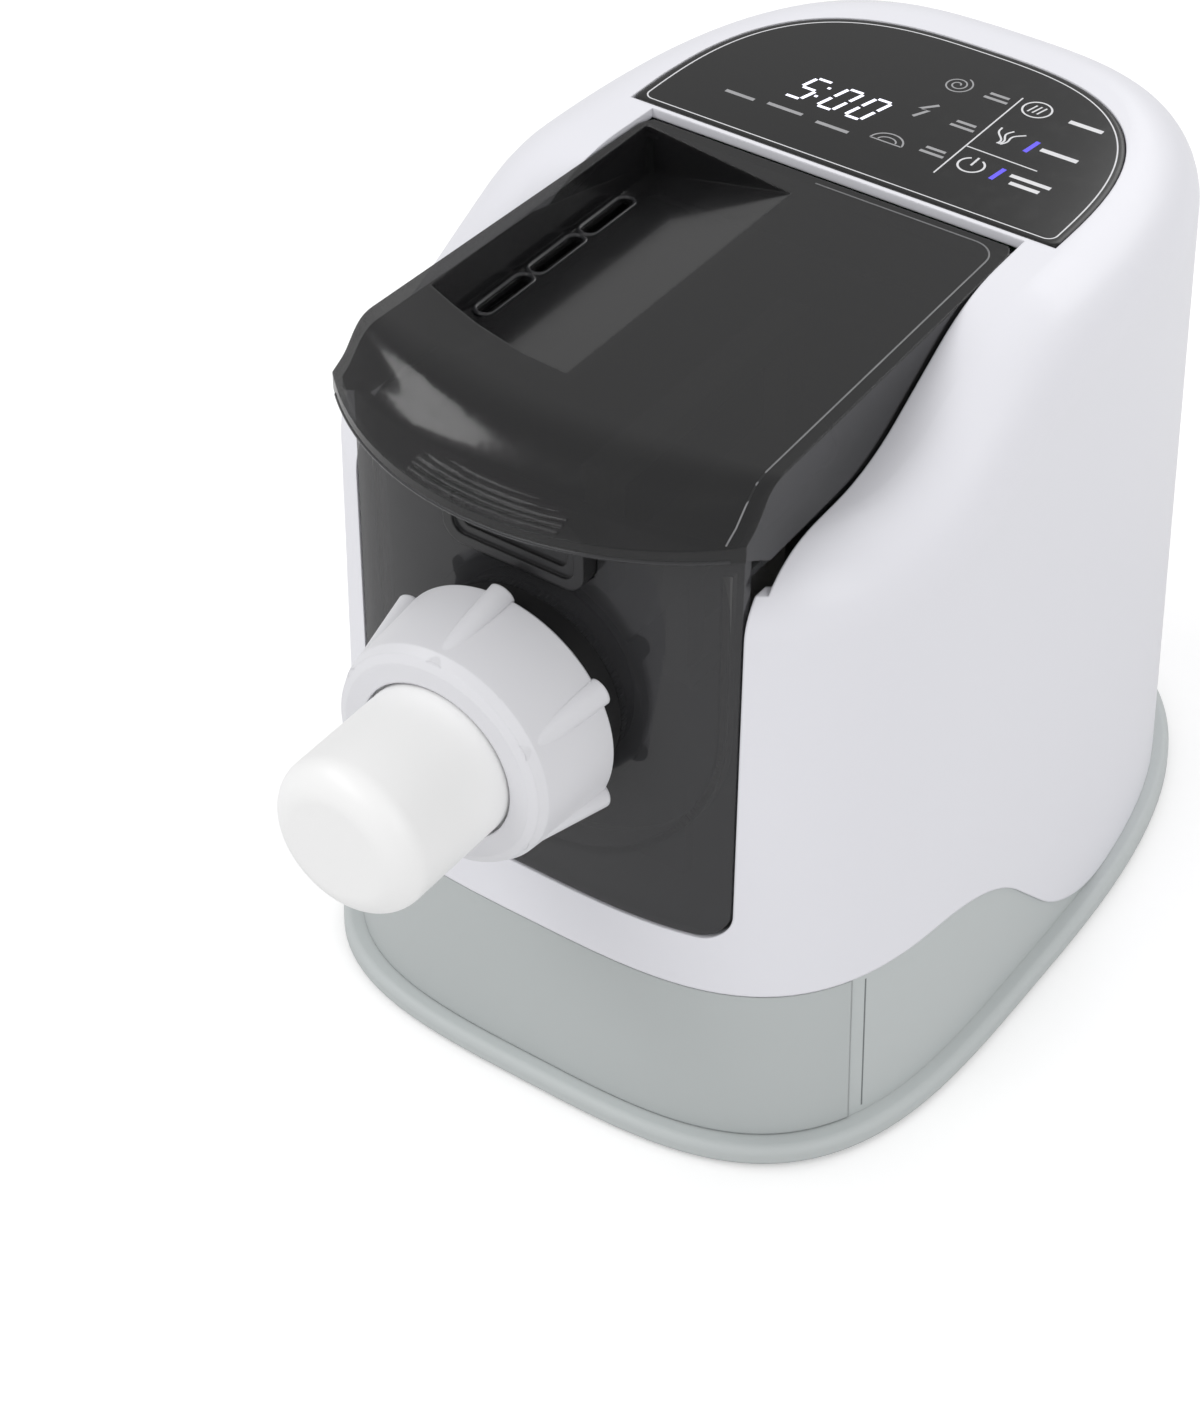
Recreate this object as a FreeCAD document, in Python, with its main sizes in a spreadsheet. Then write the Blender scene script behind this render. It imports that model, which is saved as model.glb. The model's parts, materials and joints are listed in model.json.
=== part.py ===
# Electric pasta maker: white upright housing on a grey base with a drawer, smoked lid and front cover,
# extrusion nozzle with a ring nut, kneading bowl, gear drive. Millimetres, front towards -Y, up +Z.
import FreeCAD, Part
import Sketcher
import math
import os

V = FreeCAD.Vector
doc = FreeCAD.newDocument("pasta_maker")
sheet = doc.addObject("Spreadsheet::Sheet", "Sizes")

# Sizes of the machine, one row each: name and value
SIZES = [
    ("hull_half_low", 101), ("hull_half_high", 95.4),
    ("hull_front_low", 111), ("hull_front_high", 108.5),
    ("hull_rear_low", 168), ("hull_rear_high", 155),
    ("hull_centre_y", 10), ("hull_top", 240.8), ("hull_edge_round", 22),
    ("front_power", 3.4), ("rear_power", 2.93), ("wall", 3),
    ("deck_top", 214.2), ("deck_rise_start", -50), ("deck_rise_end", 34),
    ("deck_slope", 27.5), ("deck_bend", 67.2),
    ("seam_front", 64.7), ("seam_rear", 7.6), ("seam_drop_start", -36),
    ("seam_drop_end", 75), ("seam_slope", 46), ("seam_bend", 65.8),
    ("rim_low", 2), ("rim_high", 7.5), ("rim_out", 5), ("tray_floor", 4),
    ("axis_high", 155), ("lid_top", 239.6), ("lid_rear", 49.5), ("lid_wall", 2.5),
    ("lid_half_rear", 61.85), ("lid_half_front", 66.9), ("lid_front_corner", -94.2),
    ("lid_tip_centre", -24), ("lid_tip_radius", 97), ("lip_high", 226.5), ("lip_low", 222.5),
    ("skirt_low", 215.5), ("trough_right", -5), ("trough_left", -57), ("trough_deep", 225.6),
    ("slot_long", 22), ("slot_wide", 4.8), ("slot_line", -53), ("slot_pitch", 24.7),
    ("hinge_y", 46.9), ("hinge_z", 236.6), ("hinge_pin", 1.2), ("hinge_boss", 2.5),
    ("cover_half", 63.6), ("cover_low", 85.6), ("cover_high", 221.5), ("cover_round", 10),
    ("bowl_inner", 57), ("bowl_wall", 2.5), ("bowl_front", -86.3), ("bowl_back", 44),
    ("bowl_rim", 214), ("bowl_flange", 4), ("seal_outer", 12), ("shaft_radius", 8),
    ("barrel_bore", 21), ("barrel_outer", 27.5), ("barrel_tip", -133.6), ("neck_radius", 31),
    ("neck_front", -108), ("neck_back", -92), ("neck_flange", 36),
    ("nut_front", -140), ("nut_back", -108.8), ("nut_hole", 24.6), ("nut_bore", 27.9),
    ("nut_front_radius", 34.5), ("nut_back_radius", 36.7), ("nut_rib", 4), ("nut_ribs", 6),
    ("cap_radius", 23.8), ("cap_tip", -182.9), ("cap_bore", 18.5), ("cap_flange", 27),
    ("cap_round", 9), ("die_hole", 3), ("die_centre", -159), ("die_half", 12.8),
    ("latch_half", 23), ("latch_low", 198), ("latch_high", 219.5), ("latch_front", -104),
    ("auger_core", 8), ("auger_radius", 20), ("auger_pitch", 24), ("auger_front", -128),
    ("auger_back", -70), ("flight_thick", 3), ("paddle_reach", 54), ("paddle_bar", 7),
    ("gear_module_fast", 1), ("gear_module_slow", 1.25), ("pinion_teeth", 14),
    ("idler_big_teeth", 42), ("idler_small_teeth", 14), ("output_teeth", 40),
    ("idler_angle", 32), ("gear_fast_start", 60), ("gear_slow_start", 69),
    ("gear_fast_wide", 8), ("gear_slow_wide", 10), ("motor_radius", 33), ("motor_front", 84),
    ("motor_back", 146), ("rotor_radius", 22), ("motor_shaft", 3), ("drive_radius", 6),
    ("bulkhead_front", 54), ("bulkhead_thick", 3), ("chassis_low", 66), ("chassis_thick", 3),
    ("glass_half", 71.2), ("glass_front", 52.6), ("glass_apex", 136.3), ("glass_power", 2.88),
    ("glass_low", 238.6), ("glass_top", 240.9), ("board_low", 226), ("board_thick", 1.6),
    ("drawer_low", 8.3), ("drawer_high", 60), ("drawer_half", 80), ("drawer_back", 40),
    ("drawer_front_y", -75), ("drawer_wall", 2), ("drawer_seam", -66.4),
    ("foot_radius", 9), ("foot_x", 74), ("foot_front", -66), ("foot_back", 128),
    ("post_x", 88), ("post_front", -34), ("post_back", 62), ("post_radius", 4.5),
    ("inlet_high", 31), ("inlet_half", 14), ("inlet_tall", 11),
]
for row, (name, value) in enumerate(SIZES, start=1):
    sheet.set("A%d" % row, name)
    sheet.set("B%d" % row, str(value))
    sheet.setAlias("B%d" % row, name)
doc.recompute()


class Size:
    """A number together with the sheet expression that it comes from."""

    def __init__(self, value, text):
        self.value = float(value)
        self.text = text

    def _join(self, other, sign, swap=False):
        o = as_size(other)
        a, b = (o, self) if swap else (self, o)
        value = {"+": a.value + b.value, "-": a.value - b.value, "*": a.value * b.value,
                 "/": a.value / b.value if b.value else 0.0}[sign]
        return Size(value, "(%s %s %s)" % (a.text, sign, b.text))

    def __add__(self, o):
        return self._join(o, "+")

    def __radd__(self, o):
        return self._join(o, "+", True)

    def __sub__(self, o):
        return self._join(o, "-")

    def __rsub__(self, o):
        return self._join(o, "-", True)

    def __mul__(self, o):
        return self._join(o, "*")

    def __rmul__(self, o):
        return self._join(o, "*", True)

    def __truediv__(self, o):
        return self._join(o, "/")

    def __neg__(self):
        return Size(-self.value, "(-1 * %s)" % self.text)


def as_size(x):
    return x if isinstance(x, Size) else Size(x, "%.6g" % x)


def S(name):
    return Size(sheet.get(name), "Sizes.%s" % name)


def num(name):
    return float(sheet.get(name))


def bind(obj, prop, size):
    size = as_size(size)
    if "Sizes." in size.text:
        obj.setExpression(prop, size.text)
    return size.value


def move(obj, x=0, y=0, z=0, turn=None):
    point = V(as_size(x).value, as_size(y).value, as_size(z).value)
    obj.Placement = FreeCAD.Placement(point, turn or FreeCAD.Rotation())
    for prop, size in (("x", x), ("y", y), ("z", z)):
        bind(obj, "Placement.Base.%s" % prop, size)
    return obj


# Primitives and booleans with sizes bound to the sheet
def box(name, x0, x1, y0, y1, z0, z1):
    obj = doc.addObject("Part::Box", name)
    x0, x1, y0, y1, z0, z1 = [as_size(v) for v in (x0, x1, y0, y1, z0, z1)]
    obj.Length = bind(obj, "Length", x1 - x0)
    obj.Width = bind(obj, "Width", y1 - y0)
    obj.Height = bind(obj, "Height", z1 - z0)
    return move(obj, x0, y0, z0)


TO_Y = FreeCAD.Rotation(V(1, 0, 0), -90)
TO_X = FreeCAD.Rotation(V(0, 1, 0), 90)


def rod(name, along, x, y, z, radius, length):
    """Cylinder that starts at (x, y, z) and runs length along +x, +y or +z."""
    obj = doc.addObject("Part::Cylinder", name)
    obj.Radius = bind(obj, "Radius", radius)
    obj.Height = bind(obj, "Height", length)
    return move(obj, x, y, z, {"x": TO_X, "y": TO_Y, "z": FreeCAD.Rotation()}[along])


def cut(name, base, *tools):
    for i, tool in enumerate(tools):
        obj = doc.addObject("Part::Cut", name if i == len(tools) - 1 else name + "_c%d" % i)
        obj.Base = base
        obj.Tool = tool
        base = obj
    return base


def fuse(name, *shapes):
    obj = doc.addObject("Part::MultiFuse", name)
    obj.Shapes = list(shapes)
    obj.Refine = True
    return obj


def common(name, *shapes):
    obj = doc.addObject("Part::MultiCommon", name)
    obj.Shapes = list(shapes)
    return obj


def solid(name, shape, place=None):
    obj = doc.addObject("Part::Feature", name)
    obj.Shape = shape
    if place:
        obj.Placement = place
    return obj


# Bodies made of sketches: planes are found by their role in the body's own origin
def body(name):
    return doc.addObject("PartDesign::Body", name)


def sketch(part, role, loops, lift=0, rise=0):
    """Sketch of closed polygons and circles on one origin plane, lifted along the plane normal,
    its origin raised by rise along the sketch's own vertical. Every corner is held by two distances."""
    sk = part.newObject("Sketcher::SketchObject", part.Name + "_outline")
    plane = [o for o in part.Origin.OriginFeatures if o.Role == role][0]
    sk.AttachmentSupport = [(plane, "")]
    sk.MapMode = "FlatFace"
    sk.AttachmentOffset = FreeCAD.Placement(V(0, as_size(rise).value, as_size(lift).value), FreeCAD.Rotation())
    bind(sk, "AttachmentOffset.Base.y", rise)
    bind(sk, "AttachmentOffset.Base.z", lift)
    held = []

    def hold(kind, geo, pos, size):
        size = as_size(size)
        index = sk.addConstraint(Sketcher.Constraint(kind, geo, pos, size.value))
        if "Sizes." in size.text:
            held.append((index, size.text))

    for loop in loops:
        if loop[0] == "circle":
            u, v, r = [as_size(q) for q in loop[1:]]
            geo = sk.addGeometry(Part.Circle(V(u.value, v.value, 0), V(0, 0, 1), r.value), False)
            index = sk.addConstraint(Sketcher.Constraint("Radius", geo, r.value))
            if "Sizes." in r.text:
                held.append((index, r.text))
            hold("DistanceX", geo, 3, u)
            hold("DistanceY", geo, 3, v)
            continue
        points = [(as_size(u), as_size(v)) for u, v in loop]
        count = len(points)
        first = sk.GeometryCount
        for i in range(count):
            a, b = points[i], points[(i + 1) % count]
            line = Part.LineSegment(V(a[0].value, a[1].value, 0), V(b[0].value, b[1].value, 0))
            sk.addGeometry(line, False)
        for i in range(count):
            sk.addConstraint(Sketcher.Constraint("Coincident", first + i, 2, first + (i + 1) % count, 1))
        for i in range(count):
            hold("DistanceX", first + i, 1, points[i][0])
            hold("DistanceY", first + i, 1, points[i][1])
    for index, text in held:
        sk.setExpression("Constraints[%d]" % index, text)
    return sk


def pad(part, sk, length, back=False):
    obj = part.newObject("PartDesign::Pad", part.Name + "_pad")
    obj.Profile = sk
    obj.Length = bind(obj, "Length", length)
    obj.Reversed = back
    return obj


def turned(part, sk, axis="H_Axis", groove=False):
    kind = "PartDesign::Groove" if groove else "PartDesign::Revolution"
    obj = part.newObject(kind, part.Name + "_turned")
    obj.Profile = sk
    obj.ReferenceAxis = (sk, [axis])
    obj.Angle = 360
    return obj


kept = []


def keep(label, obj):
    obj.Label = label
    kept.append((label, obj))
    return obj


# The hull: plan outline with squared curves, narrowing upwards
def plan_wire(z, grow):
    k = z / num("hull_top")
    half = num("hull_half_low") + (num("hull_half_high") - num("hull_half_low")) * k + grow
    front = num("hull_front_low") + (num("hull_front_high") - num("hull_front_low")) * k + grow
    rear = num("hull_rear_low") + (num("hull_rear_high") - num("hull_rear_low")) * k + grow
    points = []
    steps = 36
    for i in range(steps):
        t = 2 * math.pi * i / steps
        c, s = math.cos(t), math.sin(t)
        power, reach = (num("rear_power"), rear) if s > 0 else (num("front_power"), front)
        x = half * math.copysign(abs(c) ** (2 / power), c)
        y = reach * math.copysign(abs(s) ** (2 / power), s)
        points.append(V(x, y + num("hull_centre_y"), z))
    curve = Part.BSplineCurve()
    curve.interpolate(Points=points, PeriodicFlag=True)
    return Part.Wire([curve.toShape()])


def hull(z0, z1, grow):
    return Part.makeLoft([plan_wire(z0, grow), plan_wire(z1, grow)], True, True)


def step_profile(y0, z0, y1, z1, slope, bend, shrink):
    """Edges from (y0, z0) to (y1, z1): bend, straight run, bend; shrink moves the line down."""
    a = math.radians(slope)
    up = 1 if z1 > z0 else -1
    ca = V(0, y0, z0 + up * bend)
    cb = V(0, y1, z1 - up * bend)
    ra = bend + up * shrink
    rb = bend - up * shrink

    def on(centre, radius, angle):
        return centre + V(0, radius * math.sin(angle), -up * radius * math.cos(angle))

    low_bend = [on(ca, ra, a * k / 2) for k in range(3)]
    high_bend = [on(cb, -rb, a * k / 2) for k in (2, 1, 0)]
    edges = [Part.Arc(*low_bend).toShape(), Part.makeLine(low_bend[2], high_bend[0]),
             Part.Arc(*high_bend).toShape()]
    return low_bend[0], high_bend[2], edges


def side_block(profile, low, high, y_start=-300, y_end=300):
    """Solid across the whole width under or over a side profile, closed off at height low."""
    first, last, edges = profile
    a, b = V(0, y_start, first.z), V(0, y_end, last.z)
    c, d = V(0, y_end, low), V(0, y_start, low)
    wire = Part.Wire([Part.makeLine(d, a), Part.makeLine(a, first)] + edges
                     + [Part.makeLine(last, b), Part.makeLine(b, c), Part.makeLine(c, d)])
    block = Part.Face(wire).extrude(V(2 * high, 0, 0))
    block.translate(V(-high, 0, 0))
    return block


def deck_profile(shrink):
    return step_profile(num("deck_rise_start"), num("deck_top"), num("deck_rise_end"), num("hull_top"),
                        num("deck_slope"), num("deck_bend"), shrink)


def seam_profile(shrink):
    return step_profile(num("seam_drop_start"), num("seam_front"), num("seam_drop_end"), num("seam_rear"),
                        num("seam_slope"), num("seam_bend"), shrink)


def hull_form(grow, edge_round):
    """Closed hull under the deck line with the top edges rounded."""
    form = hull(0, 260, grow).common(side_block(deck_profile(-grow), -20, 150))
    form = form.Solids[0]
    faces = [f for f in form.Faces if abs(f.normalAt(*f.Surface.parameter(f.CenterOfMass)).z) > 0.7
             and f.CenterOfMass.z > 150]
    rim = []
    for edge in form.Edges:
        owners = [f for f in faces if any(edge.isSame(e) for e in f.Edges)]
        if len(owners) == 1:
            rim.append(edge)
    return form.makeFillet(edge_round, rim)


def prism(points, z0, z1):
    """Upright solid over a closed polygon of (x, y)."""
    corners = [V(x, y, z0) for x, y in points]
    return Part.Face(Part.makePolygon(corners + corners[:1])).extrude(V(0, 0, z1 - z0))


def block(x0, x1, y0, y1, z0, z1):
    return Part.makeBox(x1 - x0, y1 - y0, z1 - z0, V(x0, y0, z0))


def disc(x, y, z, radius, length, axis):
    return Part.makeCylinder(radius, length, V(x, y, z), axis)


OUT_Y, OUT_X, OUT_Z = V(0, 1, 0), V(1, 0, 0), V(0, 0, 1)


# Lid outline seen from above: straight sides that open forwards, round rear corners, bowed lip
def lid_plan(grow, low, high, corner):
    rear, half_r, half_f = num("lid_rear") + grow, num("lid_half_rear") + grow, num("lid_half_front") + grow
    front, centre = num("lid_front_corner"), num("lid_tip_centre")
    radius = num("lid_tip_radius") + grow
    y_side = centre - math.sqrt(radius ** 2 - half_f ** 2)
    a, b = V(-half_f, y_side, low), V(-half_r, rear, low)
    c, d = V(half_r, rear, low), V(half_f, y_side, low)
    wire = Part.Wire([Part.makeLine(a, b), Part.makeLine(b, c), Part.makeLine(c, d),
                      Part.Arc(d, V(0, centre - radius, low), a).toShape()])
    shape = Part.Face(wire).extrude(V(0, 0, high - low))
    upright = [e for e in shape.Edges if e.BoundBox.ZLength > high - low - 1 and e.CenterOfMass.y > 0]
    return shape.makeFillet(corner, upright)


def lid_section(x, shrink, low):
    """Side profile of the lid at one x: flat top, then the falling curve that ends in the lip."""
    start = 216 - math.sqrt(300 ** 2 - x ** 2)
    end = num("lid_tip_centre") - math.sqrt((num("lid_tip_radius") + 3) ** 2 - x ** 2)
    top, lip = num("lid_top") - shrink, num("lip_high") - shrink
    span = start - end
    curve = Part.BSplineCurve()
    rows = [(0, 0), (0.25, 0.1), (0.45, 0.42), (0.6, 0.68), (0.8, 0.88), (1, 1)]
    curve.interpolate(Points=[V(x, start - span * u, top + (lip - top) * w) for u, w in rows],
                      InitialTangent=V(0, -span, 0), FinalTangent=V(0, -span, -3.0))
    a, b = V(x, start, top), V(x, end, lip)
    c, d, e = V(x, end, low), V(x, 80, low), V(x, 80, top)
    return Part.Wire([curve.toShape(), Part.makeLine(b, c), Part.makeLine(c, d),
                      Part.makeLine(d, e), Part.makeLine(e, a)])


def lid_form(shrink, low):
    stations = [-72, -48, -24, 0, 24, 48, 72]
    swept = Part.makeLoft([lid_section(x, shrink, low) for x in stations], True, False)
    return swept.common(lid_plan(-shrink, low - 5, 260, 8 - shrink))


def lid_shape():
    wall, low, lip = num("lid_wall"), num("skirt_low"), num("lip_low")
    outer, inner = lid_form(0, low - 2), lid_form(wall, low - 4)
    shell = outer.cut(inner)
    side = Part.makePolygon([V(-90, 80, low - 10), V(-90, 80, low), V(-90, -82, low), V(-90, -93, lip),
                             V(-90, -130, lip), V(-90, -130, low - 10), V(-90, 80, low - 10)])
    shell = shell.cut(Part.Face(side).extrude(V(180, 0, 0)))
    left, right, deep, top = num("trough_left"), num("trough_right"), num("trough_deep"), num("lid_top")

    def trough(grow):
        section = [V(left - 3.4 - grow, 60, top + 3), V(left - grow, 60, deep - grow),
                   V(left + 4, 60, deep - grow), V(right + grow, 60, top - 0.2 - grow),
                   V(right + grow, 60, top + 3)]
        wedge = Part.Face(Part.makePolygon(section + section[:1])).extrude(V(0, -150, 0))
        edge = [(left - 6 - grow, 44 + grow), (right + 2 + grow, 36 + grow), (right + 2 + grow, -72 - grow),
                (-20, -71 - grow), (-38, -67 - grow), (-50, -63 - grow), (left - 6 - grow, -58 - grow)]
        return wedge.common(prism(edge, 200, 260))

    pan = trough(2).common(lid_form(0, low - 2))
    shell = shell.fuse(pan).cut(trough(0))
    hy, hz, boss = num("hinge_y"), num("hinge_z"), num("hinge_boss")
    for side in (-1, 1):
        start = side * 56.5 if side > 0 else -59.9
        shell = shell.fuse(disc(start, hy, hz, boss, 3.4, OUT_X))
    for k in (-1, 0, 1):
        y = -10.5 + k * num("slot_pitch")
        w, n = num("slot_wide") / 2, num("slot_long") / 2
        shell = shell.cut(block(num("slot_line") - w, num("slot_line") + w, y - n, y + n, 215, 250))
    for k in range(5):
        radius = 86.5 + 2.1 * k
        rib = Part.makeTorus(radius, 0.9, V(0, num("lid_tip_centre"), num("lid_top") - 10.6 - 0.5 * k), OUT_Z)
        shell = shell.fuse(rib.common(block(-24, 24, -130, -90, 215, 240)))
    for side in (-1, 1):
        shell = shell.cut(disc(side * 60 - 4, hy, hz, num("hinge_pin") + 0.1, 8, OUT_X))
    bevel = [V(-90, num("lid_rear") - 2.2, top + 0.1), V(-90, num("lid_rear") + 0.1, top - 2.2),
             V(-90, num("lid_rear") + 3, top + 3)]
    shell = shell.cut(Part.Face(Part.makePolygon(bevel + bevel[:1])).extrude(V(180, 0, 0)))
    return shell.removeSplitter()


def hull_band(outer_grow, inner_grow, z0, z1):
    return hull(z0, z1, outer_grow).cut(hull(z0 - 1, z1 + 1, inner_grow))


def hull_wall_shape():
    shell = hull_form(0, num("hull_edge_round")).cut(hull_form(-num("wall"), num("hull_edge_round") - 3))
    shell = shell.cut(side_block(seam_profile(0), -40, 150))
    top = prism([(num("lid_half_front") + 1.2, -140), (num("lid_half_front") + 0.6, -94),
                 (num("lid_half_rear") + 0.7, num("lid_rear") + 1.1),
                 (-num("lid_half_rear") - 0.7, num("lid_rear") + 1.1),
                 (-num("lid_half_front") - 0.6, -94), (-num("lid_half_front") - 1.2, -140)], 205, 260)
    half, low = num("cover_half") + 0.7, num("cover_low") - 0.7
    face = block(-half, half, -140, 30, low, 206)
    lower = [e for e in face.Edges if e.BoundBox.YLength > 100 and e.CenterOfMass.z < low + 1]
    face = face.makeFillet(num("cover_round"), lower)
    shell = shell.cut(top).cut(face)
    shell = shell.cut(glass_form(0.3, num("glass_low"), 250))
    for k in range(9):
        z = 76 + 6 * k
        shell = shell.cut(block(-32, 32, 150, 190, z, z + 2.8))
    high, n, t = num("inlet_high"), num("inlet_half") + 0.3, num("inlet_tall") + 0.3
    return shell.cut(block(-n, n, 140, 190, high - t, high + t))


def glass_form(grow, z0, z1):
    half, front, apex = num("glass_half") + grow, num("glass_front") - grow, num("glass_apex") + grow
    power = num("glass_power")
    points = []
    for i in range(25):
        t = math.pi * i / 24
        c, s = math.cos(t), math.sin(t)
        points.append(V(half * math.copysign(abs(c) ** (2 / power), c),
                        front + (apex - front) * abs(s) ** (2 / power), z0))
    curve = Part.BSplineCurve()
    curve.interpolate(Points=points, InitialTangent=V(0, 40, 0), FinalTangent=V(0, -40, 0))
    face = Part.Face(Part.Wire([curve.toShape(), Part.makeLine(points[-1], points[0])]))
    return face.extrude(V(0, 0, z1 - z0))


def gear(teeth, module, y0, wide, x, z, lead, bore):
    """Straight involute gear on an axis along Y; one tooth points at angle lead from +X towards +Z."""
    pitch = teeth * module / 2
    base = pitch * math.cos(math.radians(20))
    tip, root = pitch + 0.85 * module, pitch - 1.05 * module
    play = 0.06 / pitch
    half = math.pi / (2 * teeth) - play

    def inv(r):
        return math.sqrt(max((r / base) ** 2 - 1, 0)) - math.acos(min(base / r, 1))

    outline = []
    for i in range(teeth):
        middle = lead + 2 * math.pi * i / teeth
        flank = []
        low = max(base, root)
        for k in range(4):
            r = low + (tip - low) * k / 3
            flank.append((r, half + inv(pitch) - inv(r)))
        side = ([(root, flank[0][1])] if root < base else []) + flank
        outline += [(r, middle - a) for r, a in side] + [(r, middle + a) for r, a in reversed(side)]
    points = [V(x + r * math.cos(a), y0, z + r * math.sin(a)) for r, a in outline]
    shape = Part.Face(Part.makePolygon(points + points[:1])).extrude(V(0, wide, 0))
    return shape.cut(disc(x, y0 - 1, z, bore, wide + 2, OUT_Y))


# Gear train positions: output on the bowl axis, idler below to the side, motor under the output
AXIS = num("axis_high")
slow_run = (num("output_teeth") + num("idler_small_teeth")) * num("gear_module_slow") / 2
fast_run = (num("pinion_teeth") + num("idler_big_teeth")) * num("gear_module_fast") / 2
tilt = math.radians(num("idler_angle"))
IDLER = (slow_run * math.sin(tilt), AXIS - slow_run * math.cos(tilt))
MOTOR_HIGH = IDLER[1] - math.sqrt(fast_run ** 2 - IDLER[0] ** 2)
to_idler = math.atan2(IDLER[1] - AXIS, IDLER[0])
to_motor = math.atan2(MOTOR_HIGH - IDLER[1], -IDLER[0])


# Housing: white shell with the bowl opening, glass recess, rear vents and inlet hole
housing = keep("housing", solid("housing", hull_wall_shape()))

# Base tray: floor plate with a rim bead, rear side walls up to the seam line
tray = hull(num("rim_low"), num("rim_high"), num("rim_out"))
top_ring = [e for e in tray.Edges if e.CenterOfMass.z > num("rim_high") - 0.1]
floor_top = num("rim_low") + num("tray_floor")
tray = tray.makeFillet(2.5, top_ring).cut(hull(floor_top, 20, -2.1))
for fx in (-1, 1):
    for fy in ("post_front", "post_back"):
        tray = tray.cut(disc(fx * num("post_x"), num(fy), 0, 2, 10, OUT_Z))
        tray = tray.cut(disc(fx * num("post_x"), num(fy), 0, 4.2, 4, OUT_Z))
walls = hull_band(-0.8, -3.4, floor_top - 1, 70).common(side_block(seam_profile(0), -20, 150))
walls = walls.cut(block(-150, 150, -150, num("drawer_seam"), 0, 80))
tray = tray.fuse(walls)
base_tray = keep("base_tray", solid("base_tray", tray))

feet = []
for i, (fx, fy) in enumerate([(-1, "foot_front"), (1, "foot_front"), (-0.8, "foot_back"), (0.8, "foot_back")]):
    feet.append(rod("foot_%d" % i, "z", S("foot_x") * fx, S(fy), 0, S("foot_radius"), S("rim_low")))
keep("rubber_feet", fuse("rubber_feet", *feet))

# Chassis: deck plate over the drawer, four posts, bulkhead behind the bowl, two saddles under it
deck = body("chassis_deck")
outline = sketch(deck, "XY_Plane", [[(-64, -84), (64, -84), (84, -60), (91, -20), (91, 80), (75, 130),
                                     (47, 156), (-47, 156), (-75, 130), (-91, 80), (-91, -20), (-84, -60)]],
                 lift=S("chassis_low"))
pad(deck, outline, S("chassis_thick"))
wall_body = body("chassis_bulkhead")
outline = sketch(wall_body, "XZ_Plane",
                 [[(-86, S("chassis_low") + S("chassis_thick")), (86, S("chassis_low") + S("chassis_thick")),
                   (86, 222), (80, 228),
                   (-80, 228), (-86, 222)], ("circle", 0, S("axis_high"), 11)],
                 lift=-S("bulkhead_front"))
pad(wall_body, outline, S("bulkhead_thick"), back=True)
posts = []
for i, (sx, name) in enumerate([(-1, "post_front"), (1, "post_front"), (-1, "post_back"), (1, "post_back")]):
    post = rod("post_%d" % i, "z", S("post_x") * sx, S(name), S("rim_low") + S("tray_floor"),
               S("post_radius"), S("chassis_low") - S("rim_low") - S("tray_floor"))
    hole = rod("post_hole_%d" % i, "z", S("post_x") * sx, S(name), 0, 1.8, 19)
    posts.append(cut("post_cut_%d" % i, post, hole))
saddles = []
for i, y in enumerate((-62, 20)):
    saddles.append(box("saddle_%d" % i, -28, 28, y, y + 4, S("chassis_low") + S("chassis_thick"), 112))
seat = rod("saddle_seat", "y", 0, -70, S("axis_high"), S("bowl_inner") + S("bowl_wall") + 0.3, 110)
saddle = cut("saddles", fuse("saddle_blocks", *saddles), seat)
motor_seats = []
for i, y in enumerate((94, 132)):
    motor_seats.append(box("motor_seat_%d" % i, -22, 22, y, y + 5, S("chassis_low") + S("chassis_thick"), 84))
motor_seat = cut("motor_seats", fuse("motor_seat_blocks", *motor_seats),
                 rod("motor_seat_bore", "y", 0, 90, MOTOR_HIGH, S("motor_radius"), 60))
keep("chassis_deck", deck)
keep("bulkhead", wall_body)
keep("deck_posts", fuse("deck_posts", *posts))
keep("bowl_saddles", fuse("bowl_saddles", saddle, motor_seat))

well = []
for i, sx in enumerate((-1, 1)):
    side = body("well_side_%d" % i)
    outline = sketch(side, "YZ_Plane",
                     [[(-80, S("chassis_low") + S("chassis_thick")), (54, S("chassis_low") + S("chassis_thick")),
                       (54, 229), (40, 229), (5, 222), (-30, 205), (-80, 203)]],
                     lift=67.4 if sx > 0 else -69.4)
    pad(side, outline, 2)
    well.append(side)
keep("well_liner", fuse("well_liner", *well))

# Screws from below into the posts
screws = []
for i, (sx, name) in enumerate([(-1, "post_front"), (1, "post_front"), (-1, "post_back"), (1, "post_back")]):
    head = rod("screw_head_%d" % i, "z", S("post_x") * sx, S(name), 2.4, 3.6, 1.6)
    shank = rod("screw_shank_%d" % i, "z", S("post_x") * sx, S(name), 4, 1.8, 14)
    drive = box("screw_slot_%d" % i, S("post_x") * sx - 2.5, S("post_x") * sx + 2.5,
                S(name) - 0.4, S(name) + 0.4, 2.2, 3.2)
    screws.append(cut("screw_%d" % i, fuse("screw_body_%d" % i, head, shank), drive))
keep("base_screws", fuse("base_screws", *screws))

# Control glass and the board that hangs under it
keep("control_glass", solid("control_glass", glass_form(0, num("glass_low"), num("glass_top"))))
board = box("board_plate", -54, 54, 60, 118, S("board_low"), S("board_low") + S("board_thick"))
pieces = [board, box("board_display", -30, 30, 74, 96, S("board_low") + 1, 235),
          box("board_chip", -40, -24, 100, 112, S("board_low") + 1, 230)]
for i, (x, y) in enumerate([(-50, 64), (50, 64), (-50, 112), (50, 112)]):
    pieces.append(rod("board_post_%d" % i, "z", x, y, S("board_low") + 1, 3, 237.8 - 227))
keep("control_board", fuse("control_board", *pieces))

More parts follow.
